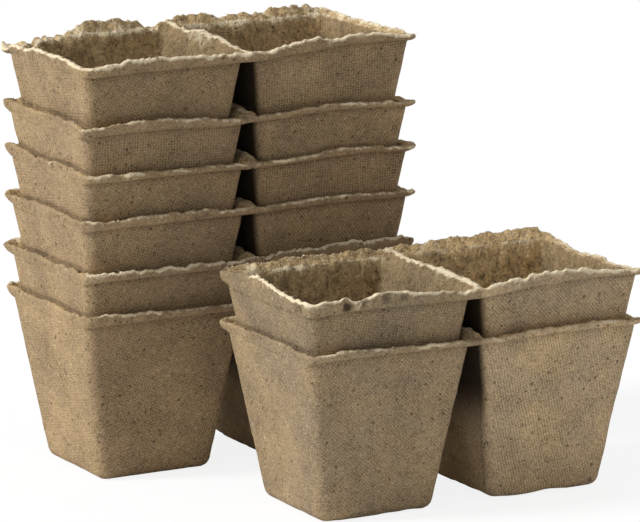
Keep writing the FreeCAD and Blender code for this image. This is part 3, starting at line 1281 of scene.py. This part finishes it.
def speck_group() -> bpy.types.NodeTree:
    """Dark flecks of peat of mixed size, scattered through the pulp."""
    group = NodeGroup.named("peat_specks", {"Place": PLACE, "Spacing": NUMBER, "Size": NUMBER}, ("Speck",))
    sheet = group.sheet
    place = group.given["Place"]
    cells = sheet.node("ShaderNodeTexVoronoi", feature="F1")
    sheet.feed(cells.inputs["Vector"], place)
    sheet.feed(cells.inputs["Scale"], group.given["Spacing"])
    pick = sheet.node("ShaderNodeSeparateColor")
    sheet.feed(pick.inputs[0], cells.outputs["Color"])
    size = sheet.times(sheet.math("POWER", pick.outputs[0], 3.0), group.given["Size"])
    edge = sheet.plus(cells.outputs["Distance"], sheet.swing(place, 2600.0), 0.16)
    return group.finish(speck=sheet.span(sheet.math("SUBTRACT", size, edge), 0.0, 0.07))


def fibre_group() -> bpy.types.NodeTree:
    """Short pale fibres that lie in the surface every way."""
    group = NodeGroup.named("pale_fibres", {"Place": PLACE, "Scale": NUMBER}, ("Fibre",))
    sheet = group.sheet
    place = group.given["Place"]
    ridge = sheet.math("ABSOLUTE", sheet.swing(place, group.given["Scale"], 2.0, 1.4))
    thin = sheet.span(ridge, 0.0, 0.016, 1.0, 0.0)
    broken = sheet.span(sheet.noise(place, 520.0, 1.0), 0.5, 0.62)
    return group.finish(fibre=sheet.times(thin, broken))


def imprint_group() -> bpy.types.NodeTree:
    """The square mesh that the wet pulp was drawn against, as a height around nothing."""
    inputs = {"Mesh": PLACE, "Place": PLACE, "Pitch": NUMBER}
    group = NodeGroup.named("forming_mesh_imprint", inputs, ("Height",))
    sheet = group.sheet
    place = group.given["Place"]
    split = sheet.node("ShaderNodeSeparateXYZ")
    sheet.feed(split.inputs[0], group.given["Mesh"])
    stray = sheet.swing(place, 130.0, 1.0)
    turns = sheet.math("DIVIDE", 2.0 * math.pi, group.given["Pitch"])
    waves = []
    for axis in range(2):
        moved = sheet.plus(split.outputs[axis], stray, 0.9)
        waves.append(sheet.math("COSINE", sheet.times(moved, turns)))
    height = sheet.times(sheet.times(*waves), 0.5)
    height = sheet.plus(height, waves[0], 0.56)
    height = sheet.plus(height, waves[1], 0.4)
    height = sheet.times(height, split.outputs[2])
    wear = sheet.span(sheet.noise(place, 210.0), 0.3, 0.62, 0.35, 1.0)
    return group.finish(height=sheet.times(height, wear))


def torn_group() -> bpy.types.NodeTree:
    """Where the pulp is torn open and its pale fibre shows."""
    group = NodeGroup.named("torn_fibre_edge", {"Torn": NUMBER, "Place": PLACE}, ("Pale", "Height"))
    sheet = group.sheet
    place = group.given["Place"]
    fine = sheet.noise(place, 1500.0, 3.0, 0.8)
    reach = sheet.plus(group.given["Torn"], sheet.swing(place, 240.0, 3.0, 0.5), 1.7)
    reach = sheet.plus(reach, sheet.math("SUBTRACT", fine, 0.5), 0.7)
    return group.finish(pale=sheet.span(reach, 0.52, 0.98), height=sheet.times(fine, group.given["Torn"]))


# How high each layer stands in the fine relief, against the grain of the pulp.
RELIEF_SHARES = {"mottle": 6.5, "grain": 1.0, "lumps": 0.5, "tear": 1.4, "coarse": -0.3}


@dataclass(frozen=True)
class PulpFinish:
    """Moulded peat pulp: its colours and the depth of what shows in its surface.

    Strengths say how far a colour covers the one below it, depths are in millimetres, and
    scales and spacings count per metre.
    """

    name: str
    warm: Colour
    grey: Colour
    inner: Colour
    pale: Colour
    speck: Colour
    painted_shade_colour: Colour
    shade_strength: float
    imprint_shade: float
    imprint_depth: float
    grain_depth: float
    roughness: float
    imprint_pitch: float = 0.92
    warmth_strength: float = 0.35
    inner_strength: float = 0.85
    fibre_strength: float = 0.4
    coarse_strength: float = 0.62
    fine_strength: float = 0.42
    mottle_shade: float = 1.9
    specular: float = 0.15

    def material(self, groups: dict[str, bpy.types.NodeTree]) -> bpy.types.Material:
        """Builds the material from the shared groups.

        Args:
            groups: the shared node groups by name.

        Returns:
            The finished material.
        """
        material = bpy.data.materials.new(self.name)
        material.use_nodes = True
        sheet = NodeSheet(material.node_tree)
        shader = material.node_tree.nodes["Principled BSDF"]
        layers = self.layers(sheet, groups)
        bump = sheet.node("ShaderNodeBump")
        sheet.feed(bump.inputs["Distance"], MM)
        sheet.feed(bump.inputs["Strength"], 1.0)
        sheet.feed(bump.inputs["Height"], self.relief(sheet, layers))
        sheet.feed(shader.inputs["Base Color"], self.colour(sheet, layers))
        sheet.feed(shader.inputs["Roughness"], self.roughness)
        sheet.feed(shader.inputs["Specular IOR Level"], self.specular)
        sheet.feed(shader.inputs["Normal"], bump.outputs[0])
        return material

    def layers(self, sheet: NodeSheet, groups: dict[str, bpy.types.NodeTree]) -> dict[str, Socket]:
        """What shows in the pulp, by name."""
        place = sheet.place()
        mesh = sheet.value_of("forming_mesh", "Vector")
        blotches = sheet.use(groups["blotches"], place=place, strength=self.shade_strength)
        coarse = sheet.use(groups["specks"], place=place, spacing=520.0, size=0.35)
        fine = sheet.use(groups["specks"], place=place, spacing=1150.0, size=0.5)
        fibre = sheet.use(groups["fibres"], place=place, scale=300.0)
        imprint = sheet.use(groups["imprint"], mesh=mesh, place=place, pitch=self.imprint_pitch)
        torn = sheet.use(groups["torn"], torn=sheet.value_of("torn"), place=place)
        inside = sheet.value_of("inside")
        return {
            "shade": blotches.outputs["Shade"],
            "warmth": blotches.outputs["Warmth"],
            "coarse": coarse.outputs["Speck"],
            "fine": fine.outputs["Speck"],
            "fibre": fibre.outputs["Fibre"],
            "imprint": imprint.outputs["Height"],
            "pale": torn.outputs["Pale"],
            "tear": torn.outputs["Height"],
            "inside": inside,
            "mottle": self.mottle(sheet, place, inside),
            "grain": sheet.noise(place, 1300.0, 4.0, 0.3),
            "lumps": sheet.noise(place, 380.0),
        }

    def colour(self, sheet: NodeSheet, layers: dict[str, Socket]) -> Socket:
        """The pulp's colour with all that lies on it, painted light and shade among it."""
        colour = sheet.mix(sheet.value_of("tone"), self.warm, self.grey)
        colour = sheet.tint(colour, self.inner, layers["warmth"], self.warmth_strength)
        colour = sheet.tint(colour, self.inner, layers["inside"], self.inner_strength)
        shade = sheet.plus(layers["shade"], layers["imprint"], self.imprint_shade)
        shade = sheet.plus(shade, layers["mottle"], self.mottle_shade)
        # Painted light: the factor per pot and per end brightens or darkens the colour.
        shaded = sheet.node("ShaderNodeVectorMath", operation="SCALE")
        sheet.feed(shaded.inputs[0], colour)
        sheet.feed(shaded.inputs["Scale"], sheet.times(shade, sheet.value_of("painted_light_gain")))
        colour = sheet.tint(shaded.outputs[0], self.pale, layers["fibre"], self.fibre_strength)
        colour = sheet.mix(layers["pale"], colour, self.pale)
        colour = sheet.tint(colour, self.speck, layers["coarse"], self.coarse_strength)
        colour = sheet.tint(colour, self.speck, layers["fine"], self.fine_strength)
        # Painted shade: the last mix darkens towards a near black colour as far as the mesh's value asks.
        return sheet.mix(sheet.value_of("painted_shade"), colour, self.painted_shade_colour)

    def relief(self, sheet: NodeSheet, layers: dict[str, Socket]) -> Socket:
        """The height of the fine relief, in millimetres."""
        relief = sheet.times(layers["imprint"], self.imprint_depth)
        for name, share in RELIEF_SHARES.items():
            relief = sheet.plus(relief, layers[name], share * self.grain_depth)
        return relief

    def mottle(self, sheet: NodeSheet, place: Socket, inside: Socket) -> Socket:
        """The rough lumps of the pulp's inner side, drawn out a little along the wall."""
        drawn = sheet.node("ShaderNodeVectorMath", operation="MULTIPLY")
        sheet.feed(drawn.inputs[0], place)
        sheet.feed(drawn.inputs[1], (1.0, 1.0, 0.72))
        return sheet.times(sheet.swing(drawn.outputs[0], 430.0, 5.0, 0.9), inside)


PULP = PulpFinish(
    name="moulded_peat_pulp",
    warm=(0.342, 0.239, 0.137, 1.0),
    grey=(0.325, 0.244, 0.155, 1.0),
    inner=(0.455, 0.325, 0.166, 1.0),
    pale=(0.84, 0.71, 0.49, 1.0),
    speck=(0.085, 0.055, 0.032, 1.0),
    # The colour of painted shade.
    painted_shade_colour=(0.022, 0.014, 0.008, 1.0),
    shade_strength=0.72,
    imprint_shade=0.38,
    imprint_depth=0.11,
    grain_depth=0.16,
    roughness=0.92,
)
TORN_PULP = PulpFinish(
    name="torn_pulp_fibre",
    warm=(0.42, 0.32, 0.20, 1.0),
    grey=(0.40, 0.31, 0.20, 1.0),
    inner=(0.36, 0.26, 0.15, 1.0),
    pale=(0.68, 0.57, 0.41, 1.0),
    speck=(0.12, 0.075, 0.04, 1.0),
    painted_shade_colour=(0.05, 0.03, 0.02, 1.0),
    shade_strength=0.4,
    imprint_shade=0.0,
    imprint_depth=0.0,
    grain_depth=0.1,
    roughness=0.95,
)


@dataclass(frozen=True)
class Studio:
    """A pale floor, a soft key light from the left, even light all round and the camera.

    Shares of light are against full daylight, angles are in degrees, and the camera's distance
    and its aim past the tall stack's middle are in millimetres.
    """

    key_share: float = 0.9
    key_spread: float = 14.0
    key_way: tuple[float, float, float] = (-0.80, 0.16, 0.58)
    fill_share: float = 0.42
    floor_colour: float = 0.8
    floor_half: float = 3.0
    seen_white_share: float = 0.8
    seen_white: float = 1.07
    focal_pixels: float = 4406.0
    picture_width: float = 640.0
    yaw: float = 29.17
    pitch: float = 11.95
    distance: float = 1434.0
    sensor_width: float = 36.0
    clip_end: float = 20.0
    aim_right: float = 35.38
    aim_up: float = 61.27

    def build_floor(self) -> None:
        """A large plain floor that keeps the soft shadow of the pots."""
        half = self.floor_half
        mesh = bpy.data.meshes.new("studio_floor")
        corners = [(-half, -half, 0.0), (half, -half, 0.0), (half, half, 0.0), (-half, half, 0.0)]
        mesh.from_pydata(corners, [], [(0, 1, 2, 3)])
        floor = bpy.data.objects.new("studio_floor", mesh)
        bpy.context.scene.collection.objects.link(floor)
        material = bpy.data.materials.new("pale_floor")
        material.use_nodes = True
        sheet = NodeSheet(material.node_tree)
        output = material.node_tree.nodes["Material Output"]
        shader = material.node_tree.nodes["Principled BSDF"]
        shader.inputs["Base Color"].default_value = (self.floor_colour,) * 3 + (1.0,)
        shader.inputs["Roughness"].default_value = 1.0
        shader.inputs["Specular IOR Level"].default_value = 0.0
        white = sheet.node("ShaderNodeEmission")
        white.inputs["Strength"].default_value = self.seen_white
        path = sheet.node("ShaderNodeLightPath")
        share = sheet.math("MULTIPLY", path.outputs["Is Camera Ray"], self.seen_white_share)
        both = sheet.node("ShaderNodeMixShader")
        sheet.feed(both.inputs[0], share)
        sheet.feed(both.inputs[1], shader.outputs[0])
        sheet.feed(both.inputs[2], white.outputs[0])
        sheet.feed(output.inputs["Surface"], both.outputs[0])
        mesh.materials.append(material)

    def build_lights(self) -> None:
        """The key light and the even light of the room."""
        key = bpy.data.lights.new("key_light", "SUN")
        key.energy = self.key_share * math.pi
        key.angle = math.radians(self.key_spread)
        lamp = bpy.data.objects.new("key_light", key)
        towards = Vector(self.key_way).normalized()
        lamp.rotation_euler = towards.to_track_quat("Z", "Y").to_euler()
        lamp.location = towards
        bpy.context.scene.collection.objects.link(lamp)
        world = bpy.data.worlds.new("even_room")
        world.use_nodes = True
        sheet = NodeSheet(world.node_tree)
        backdrop = world.node_tree.nodes["Background"]
        path = sheet.node("ShaderNodeLightPath")
        seen = sheet.math("MAXIMUM", path.outputs["Is Camera Ray"], path.outputs["Is Glossy Ray"])
        seen = sheet.math("MAXIMUM", seen, path.outputs["Is Transmission Ray"])
        strength = sheet.math("MULTIPLY_ADD", seen, 1.0 - self.fill_share, self.fill_share)
        sheet.feed(backdrop.inputs["Color"], (1.0, 1.0, 1.0, 1.0))
        sheet.feed(backdrop.inputs["Strength"], strength)
        bpy.context.scene.world = world

    def build_camera(self, anchor: Vector) -> None:
        """The camera at the photograph's angle, placed from the tall stack's middle."""
        yaw, pitch = math.radians(self.yaw), math.radians(self.pitch)
        back = Vector((-math.sin(yaw) * math.cos(pitch), -math.cos(yaw) * math.cos(pitch), math.sin(pitch)))
        right = Vector((math.cos(yaw), -math.sin(yaw), 0.0))
        up = back.cross(right)
        aim = right * self.aim_right + up * self.aim_up
        data = bpy.data.cameras.new("photo_camera")
        data.sensor_width = self.sensor_width
        data.lens = self.focal_pixels / self.picture_width * data.sensor_width
        data.clip_end = self.clip_end
        camera = bpy.data.objects.new("photo_camera", data)
        turned = Matrix((right, up, back)).transposed().to_4x4()
        place = anchor + (aim + back * self.distance) * MM
        camera.matrix_world = Matrix.Translation(place) @ turned
        bpy.context.scene.collection.objects.link(camera)
        bpy.context.scene.camera = camera

    def set_view(self) -> None:
        """Plain colours, shown as they are lit."""
        bpy.context.scene.view_settings.view_transform = "Standard"


FIRST_OF_TALL_STACK = RimStory(
    front=((-61, 0.9), (-48, 1.3), (-30, 0.4), (-12, 0.3), (0, -0.3), (20, 0.4), (40, 0.8), (61, 0.3)),
    left=((-31, 0.6), (-16, 0.2), (-4, 1.0), (10, 0.4), (22, 0.9), (31, 0.6)),
)
SECOND_OF_TALL_STACK = RimStory(
    front=(
        (-61, 0.2), (-50, 0.9), (-36, 0.2), (-20, 0.7), (-5, -0.2), (4, 0.3), (14, 1.6), (24, 1.1), (33, 2.2),
        (45, 1.6), (54, 2.1), (61, 0.9),
    ),
    left=((-31, 0.2), (-18, 0.9), (-6, 0.3), (8, 0.8), (20, 0.2), (31, 0.9)),
    roughness=1.35,
    nested_torn=0.95,
)
THIRD_OF_TALL_STACK = RimStory(
    front=(
        (-61, 0.6), (-52, 0.2), (-40, 0.8), (-28, 1.1), (-14, 0.8), (-2, -0.4), (12, 0.0), (28, 0.9),
        (44, 0.5), (61, -0.1),
    ),
    left=((-31, 0.5), (-20, 0.1), (-8, 0.7), (6, 1.1), (18, 0.4), (31, -0.1)),
    roughness=0.9,
)
TOP_OF_TALL_STACK = RimStory(
    front=(
        (-61, -1.9), (-57, -1.2), (-51, -0.1), (-42, 1.0), (-30, 0.7), (-15, 0.3), (-3, 0.1), (5, -0.1),
        (9, 0.8),
        (15, 2.1), (23, 3.0), (29, 1.8), (35, 2.8), (46, 2.6), (56, 1.4), (61, 1.2),
    ),
    left=((-31, -1.9), (-26, -0.9), (-20, 0.0), (-10, 0.6), (5, 0.9), (16, -0.3), (23, -0.5), (31, -1.7)),
    right=((-31, 1.2), (-18, 1.1), (0, 1.0), (14, 1.0), (26, 1.7), (31, 2.1)),
    back=(
        (-61, -1.9), (-54, -1.4), (-48, -0.6), (-42, 0.4), (-35, 2.0), (-29, 3.7), (-20, 3.4), (-11, 3.6),
        (-8, 1.0),
        (-3, 1.3), (0, 2.2), (3, 3.9), (7, 3.4), (14, 2.1), (24, 2.5), (40, 3.3), (45, 3.9), (50, 2.9),
        (56, 2.6), (61, 2.0),
    ),
    divider=(
        (-31, -0.5), (-24, -0.4), (-16, 0.3), (-10, 0.9), (-7, 1.7), (-3, 1.5), (3, 2.1), (8, 1.5),
        (20, 1.1), (31, 1.4),
    ),
    parting=(
        (-61, -0.4), (-42, 0.3), (-4, 0.6), (3, 0.6), (12, 1.5), (24, 2.3), (36, 3.4), (47, 3.4),
        (61, 3.0),
    ),
    roughness=1.0,
    back_roughness=1.3,
    back_torn=1.3,
)
FIFTH_OF_TALL_STACK = RimStory(
    front=(
        (-61, -0.2), (-53, 0.6), (-43, 1.7), (-30, 1.7), (-16, 0.5), (-8, -0.9), (5, -0.6), (16, 0.4),
        (25, 1.1), (36, 1.1), (48, 0.0), (61, -0.9),
    ),
    left=((-31, 0.3), (-18, 1.1), (0, 1.4), (14, 0.9), (31, 1.9)),
    parting=(
        (-61, 1.1), (-42, 1.8), (-30, 1.7), (-6, 0.7), (0, 1.5), (12, 1.6), (28, 2.7), (46, 2.2),
        (61, 1.1),
    ),
    divider=((-31, -0.5), (-24, 0.6), (-14, 1.4), (0, 1.0), (31, 0.8)),
    roughness=0.7,
)
FOURTH_OF_TALL_STACK = RimStory(
    front=(
        (-61, -0.3), (-48, -0.5), (-36, -0.2), (-20, -0.8), (-6, -1.2), (8, -1.4), (23, -0.4), (32, 0.9),
        (44, 0.2), (55, -0.9), (61, -0.7),
    ),
    left=((-31, 0.2), (-14, 0.9), (6, 0.4), (20, 1.2), (31, 2.6)),
    parting=((-61, 0.9), (-30, 1.0), (0, 0.9), (10, 0.8), (25, 1.5), (40, 2.1), (61, 1.2)),
    roughness=0.85,
)
FIRST_OF_LOW_STACK = RimStory(parting=((-61, 2.0), (-30, 2.1), (0, 1.8), (30, 2.4), (61, 2.0)))
TOP_OF_LOW_STACK = RimStory(
    front=(
        (-61, 1.2), (-50, 2.1), (-47, 2.2), (-43, 1.1), (-36, 2.3), (-29, 2.6), (-19, 1.4), (-6, 0.1),
        (2, 0.7), (11, 2.2), (16, 2.0), (18, 3.2), (30, 3.1), (42, 2.3), (52, 1.1), (61, 1.0),
    ),
    left=((-31, 1.3), (-18, 1.5), (-8, 1.9), (-3, 3.0), (6, 3.6), (16, 2.8), (24, 1.8), (31, 1.6)),
    right=(
        (-31, 0.6), (-22, -0.6), (-10, -0.9), (-3, 0.0), (6, -0.8), (13, -0.9), (17, 0.3), (26, 0.8),
        (31, 1.4),
    ),
    back=(
        (-61, 1.5), (-55, 1.8), (-46, 2.2), (-34, 2.8), (-20, 2.3), (-6, 2.4), (13, 2.6), (20, 3.6),
        (26, 3.0),
        (40, 3.1), (52, 3.6), (61, 2.8),
    ),
    divider=((-31, 0.6), (-23, 1.4), (-8, 2.0), (8, 1.5), (20, 1.8), (31, 2.4)),
    parting=((-61, 1.0), (-40, 1.6), (-10, 1.1), (0, 0.9), (20, 2.7), (40, 3.5), (61, 2.9)),
    roughness=0.95,
    back_roughness=1.0,
)
# In these marks and the next, dark is painted shade in a dent.
FIFTH_MARKS = (
    RimMark(-57, -30.0, -4.6, 2.2, outward=-0.9),
    RimMark(-59, -27.0, -2.0, 2.6, outward=0.7),
    RimMark(49, -30.0, 0.2, 1.4, upward=1.1, outward=0.3),
    RimMark(-6, -28.0, -5.4, 1.0, outward=-0.4, dark=0.5),
)
TALL_TOP_MARKS = (
    RimMark(-59.4, 30.0, -1.2, 1.4, upward=2.6),
    RimMark(0.0, 2.0, 0.5, 10.0, calm=-1.3),
)
LOW_TOP_MARKS = (
    RimMark(-47.5, -30.5, 1.6, 1.3, upward=1.4, outward=0.5),
    RimMark(-45.8, -29.6, -0.9, 2.0, outward=-1.6, dark=0.85),
    RimMark(-40.0, -29.8, 0.8, 1.7, outward=-1.4, upward=-0.6, dark=0.5),
    RimMark(-36.0, -29.8, 1.4, 1.0, outward=0.8, upward=0.6),
    RimMark(-32.5, -29.8, 0.9, 1.9, outward=-1.4, dark=0.48),
    RimMark(-30.0, -29.8, -0.4, 1.1, outward=0.5, upward=0.3),
    RimMark(-26.5, -29.8, 0.4, 1.6, outward=-1.1, dark=0.36),
    RimMark(-59.0, -22.0, -1.6, 1.5, outward=-1.1, dark=0.6),
    RimMark(-59.0, -19.5, -2.2, 1.2, outward=-0.5, dark=0.4),
    RimMark(-61.0, 20.0, 1.5, 13.0, outward=0.5, calm=1.0),
    RimMark(0, -12.0, 0.5, 9.0, calm=-1.3),
)
POINTED_EAR = LipReach(back_left_ear=3.4)
SHORT_EAR = LipReach(back_left_ear=1.2)
BROAD_FLAP = LipReach(
    front=1.35, left=0.6, back_left_ear=0.9, ear_spread=5.0, ear_rise=0.0, front_step=0.65, left_step=0.45
)
TALL_STRIPS = (
    StripPlan(FIRST_OF_TALL_STACK, tone=0.1, mesh_angles=(0.45, 0.02)),
    StripPlan(SECOND_OF_TALL_STACK, tone=0.25, mesh_angles=(0.6, -0.35)),
    StripPlan(THIRD_OF_TALL_STACK, tone=0.15, mesh_angles=(0.3, 0.7), reach=SHORT_EAR),
    StripPlan(FOURTH_OF_TALL_STACK, tone=0.1, mesh_angles=(0.52, 0.05), reach=SHORT_EAR),
    StripPlan(FIFTH_OF_TALL_STACK, tone=0.2, mesh_angles=(0.0, 0.6), reach=SHORT_EAR, marks=FIFTH_MARKS),
    StripPlan(
        TOP_OF_TALL_STACK, tone=0.15, mesh_angles=(0.55, 0.04), reach=POINTED_EAR, marks=TALL_TOP_MARKS
    ),
)
# The front stack's factors for its pots and ends are painted light.
LOW_STRIPS = (
    StripPlan(FIRST_OF_LOW_STACK, tone=0.75, mesh_angles=(0.7, 0.3), painted_light_gains=(1.07, 1.6), end_painted_light_gain=0.84),
    StripPlan(
        TOP_OF_LOW_STACK, tone=0.9, mesh_angles=(0.2, 0.78), painted_light_gains=(0.95, 1.37), end_painted_light_gain=0.84,
        reach=BROAD_FLAP, marks=LOW_TOP_MARKS
    ),
)


def main() -> None:
    """Builds the studio and both stacks, and reports each strip."""
    logging.basicConfig(level=logging.INFO, format="%(message)s")
    tall = PotStack("back_stack", TALL_STRIPS, first_seed=11)
    low = PotStack("front_stack", LOW_STRIPS, first_seed=31)
    studio = Studio()
    studio.set_view()
    studio.build_floor()
    studio.build_lights()
    studio.build_camera(tall.foot_places()[0])
    groups = {
        "blotches": blotch_group(),
        "specks": speck_group(),
        "fibres": fibre_group(),
        "imprint": imprint_group(),
        "torn": torn_group(),
    }
    finishes = [PULP.material(groups), TORN_PULP.material(groups)]
    for strip in tall.strips() + low.strips():
        piece = strip.build()
        strip.dress(piece, finishes)
        LOG.info("%s: %d points, %d faces", piece.name, len(piece.data.vertices), len(piece.data.polygons))


if __name__ == "__main__":
    main()
